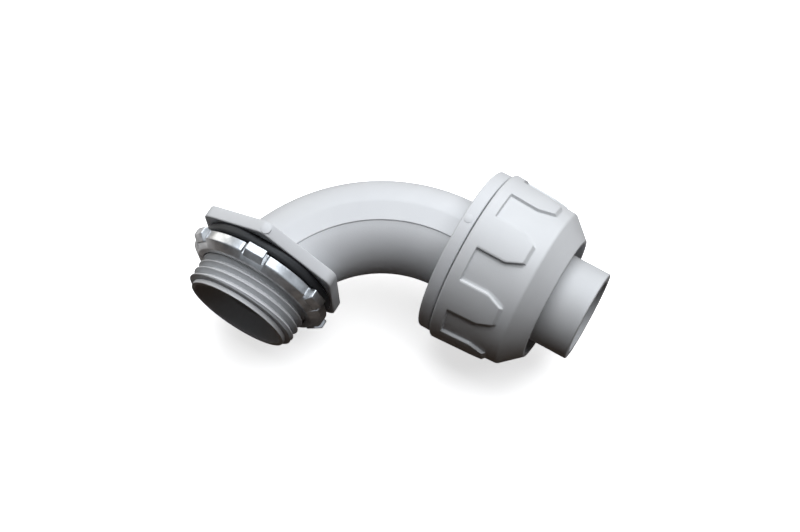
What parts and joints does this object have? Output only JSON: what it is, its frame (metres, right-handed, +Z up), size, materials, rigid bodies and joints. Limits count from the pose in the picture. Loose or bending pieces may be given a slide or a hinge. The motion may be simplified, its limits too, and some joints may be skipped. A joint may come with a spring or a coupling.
{
  "type": "liquidtight conduit elbow connector",
  "caption": "Right-angle liquidtight conduit connector with threaded nose, six-sided flange, gasket, lugged locknut, swept tube, grip-pad compression nut and ferrule.",
  "frame": {"origin": "centre of the flange's sealing face, on the axis of the threaded nose", "axes": "-Y along the threaded nose, out of the enclosure's wall; +X along the conduit, away from the body; +Z up, square to the plane of the bend, with the connector lying on its side"},
  "size_m": [0.0837, 0.0591, 0.0406],
  "materials": {
    "grey_moulding": "fine satin moulding",
    "grey_ferrule": "fine satin moulding",
    "grey_nut": "fine satin moulding",
    "gland_plastic": "satin",
    "gasket_rubber": "matt",
    "zinc_steel": "zinc plate"
  },
  "bodies": {
    "elbow": {"elbow_body": "grey_moulding", "conduit_ferrule": "grey_ferrule"},
    "gland": {"gland_ring": "gland_plastic"},
    "nut": {"compression_nut": "grey_nut"},
    "gasket": {"sealing_gasket": "gasket_rubber"},
    "lock": {"locknut": "zinc_steel"}
  },
  "joints": [
    {"name": "gland_slide", "type": "slide", "parent": "elbow", "child": "gland", "axis": [1, 0, 0], "range_m": [0, 0.0075]},
    {"name": "nut_turn", "type": "hinge", "parent": "gland", "child": "nut", "pos_m": [0.0482, 0.0253, 0], "axis": [1, 0, 0], "range_deg": [0, 1080]},
    {"name": "gasket_slide", "type": "slide", "parent": "elbow", "child": "gasket", "axis": [0, -1, 0], "range_m": [0, 0.00544]},
    {"name": "locknut_turn", "type": "hinge", "parent": "gasket", "child": "lock", "pos_m": [0, -0.0045, 0], "axis": [0, -1, 0], "range_deg": [0, 1080]}
  ],
  "couplings": [
    {"joint": "gland_slide", "follows": "nut_turn", "m_per_rad": 0.00039789},
    {"joint": "gasket_slide", "follows": "locknut_turn", "m_per_rad": 0.00028871}
  ]
}
